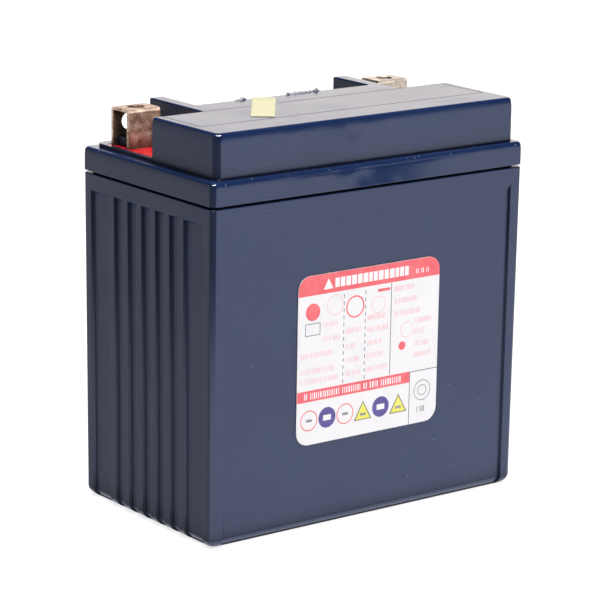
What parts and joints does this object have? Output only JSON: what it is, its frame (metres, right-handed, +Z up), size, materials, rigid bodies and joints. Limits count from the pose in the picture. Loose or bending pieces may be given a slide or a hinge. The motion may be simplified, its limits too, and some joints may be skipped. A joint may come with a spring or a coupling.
{
  "type": "motorcycle battery",
  "caption": "Sealed lead-acid motorcycle battery: ribbed navy case, stepped lid with two folded bolt terminals, vent valves and plate groups inside.",
  "frame": {"origin": "centre of the footprint on the underside", "axes": "+X along the long side towards the negative terminal, +Y from the label face towards the terminals, +Z up"},
  "size_m": [0.15, 0.087, 0.1595],
  "materials": {
    "case_plastic": "glossy moulded dark navy",
    "terminal_metal": "tarnished tin-plated strip",
    "lead": null,
    "positive_paste": null,
    "rubber": "matt black",
    "red_resin": "glossy poured resin",
    "black_resin": "glossy poured resin",
    "glass_mat": "soft white glass fibre felt",
    "label_sheet": "coated self-adhesive label",
    "tape_sheet": "pale yellow masking tape",
    "melted_plastic": "rough melted specks"
  },
  "bodies": {
    "battery": {"case": "case_plastic", "lid": "case_plastic", "vent_cover": "case_plastic", "label": "label_sheet", "tape": "tape_sheet", "positive_terminal": "terminal_metal", "negative_terminal": "terminal_metal", "positive_resin": "red_resin", "negative_resin": "black_resin", "positive_post": "lead", "negative_post": "lead", "melted_burr_1": "melted_plastic", "melted_burr_2": "melted_plastic", "positive_plates_1": "positive_paste", "positive_plates_2": "positive_paste", "positive_plates_3": "positive_paste", "positive_plates_4": "positive_paste", "positive_plates_5": "positive_paste", "positive_plates_6": "positive_paste", "negative_plates_1": "lead", "negative_plates_2": "lead", "negative_plates_3": "lead", "negative_plates_4": "lead", "negative_plates_5": "lead", "negative_plates_6": "lead", "glass_mat_1": "glass_mat", "glass_mat_2": "glass_mat", "glass_mat_3": "glass_mat", "glass_mat_4": "glass_mat", "glass_mat_5": "glass_mat", "glass_mat_6": "glass_mat", "cell_link_1": "lead", "cell_link_2": "lead", "cell_link_3": "lead", "cell_link_4": "lead", "cell_link_5": "lead"},
    "vent_valve_1": {"vent_valve_1": "rubber"},
    "vent_valve_2": {"vent_valve_2": "rubber"},
    "vent_valve_3": {"vent_valve_3": "rubber"},
    "vent_valve_4": {"vent_valve_4": "rubber"},
    "vent_valve_5": {"vent_valve_5": "rubber"},
    "vent_valve_6": {"vent_valve_6": "rubber"}
  },
  "joints": [
    {"name": "vent_valve_1_lift", "type": "slide", "parent": "battery", "child": "vent_valve_1", "axis": [0, 0, 1], "range_m": [0, 0.001], "stiffness_N_per_m": 200, "springref_m": -0.0005},
    {"name": "vent_valve_2_lift", "type": "slide", "parent": "battery", "child": "vent_valve_2", "axis": [0, 0, 1], "range_m": [0, 0.001], "stiffness_N_per_m": 200, "springref_m": -0.0005},
    {"name": "vent_valve_3_lift", "type": "slide", "parent": "battery", "child": "vent_valve_3", "axis": [0, 0, 1], "range_m": [0, 0.001], "stiffness_N_per_m": 200, "springref_m": -0.0005},
    {"name": "vent_valve_4_lift", "type": "slide", "parent": "battery", "child": "vent_valve_4", "axis": [0, 0, 1], "range_m": [0, 0.001], "stiffness_N_per_m": 200, "springref_m": -0.0005},
    {"name": "vent_valve_5_lift", "type": "slide", "parent": "battery", "child": "vent_valve_5", "axis": [0, 0, 1], "range_m": [0, 0.001], "stiffness_N_per_m": 200, "springref_m": -0.0005},
    {"name": "vent_valve_6_lift", "type": "slide", "parent": "battery", "child": "vent_valve_6", "axis": [0, 0, 1], "range_m": [0, 0.001], "stiffness_N_per_m": 200, "springref_m": -0.0005}
  ]
}
